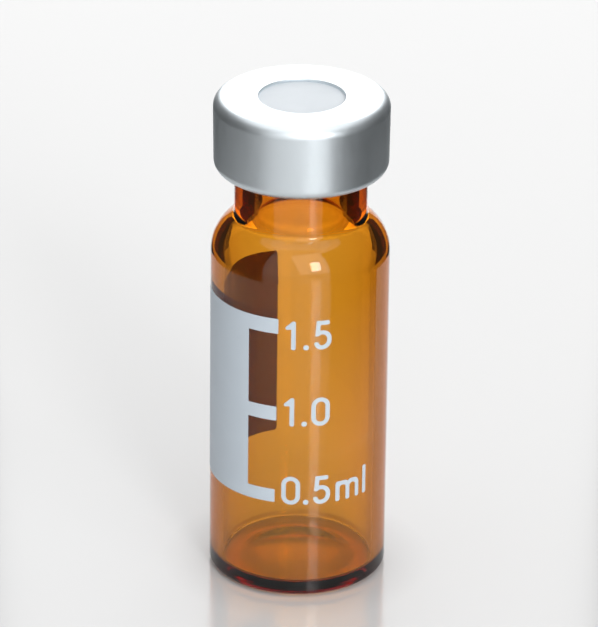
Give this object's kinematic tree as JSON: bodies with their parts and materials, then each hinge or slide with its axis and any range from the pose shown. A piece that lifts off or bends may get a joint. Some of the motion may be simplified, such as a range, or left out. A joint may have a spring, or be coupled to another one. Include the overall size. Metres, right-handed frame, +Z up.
{
  "type": "crimp-top sample vial",
  "caption": "Small amber glass vial with a round shoulder, a printed write-on patch and scale, and a crimped aluminium cap over a pale septum.",
  "frame": {"origin": "centre of the base, on the plane the vial stands on", "axes": "+Z up along the vial's axis to the cap; -Y is the side that shows the scale's numerals, and the printed patch starts to its left and runs round the -X side"},
  "size_m": [0.0116, 0.0116, 0.0332],
  "materials": {
    "amber_glass": "clear amber glass, fire polished",
    "silicone": "pale translucent silicone, matt",
    "aluminium": "satin drawn sheet"
  },
  "bodies": {
    "root": {"vial": "amber_glass", "septum": "silicone", "crimp_cap": "aluminium"}
  },
  "joints": []
}
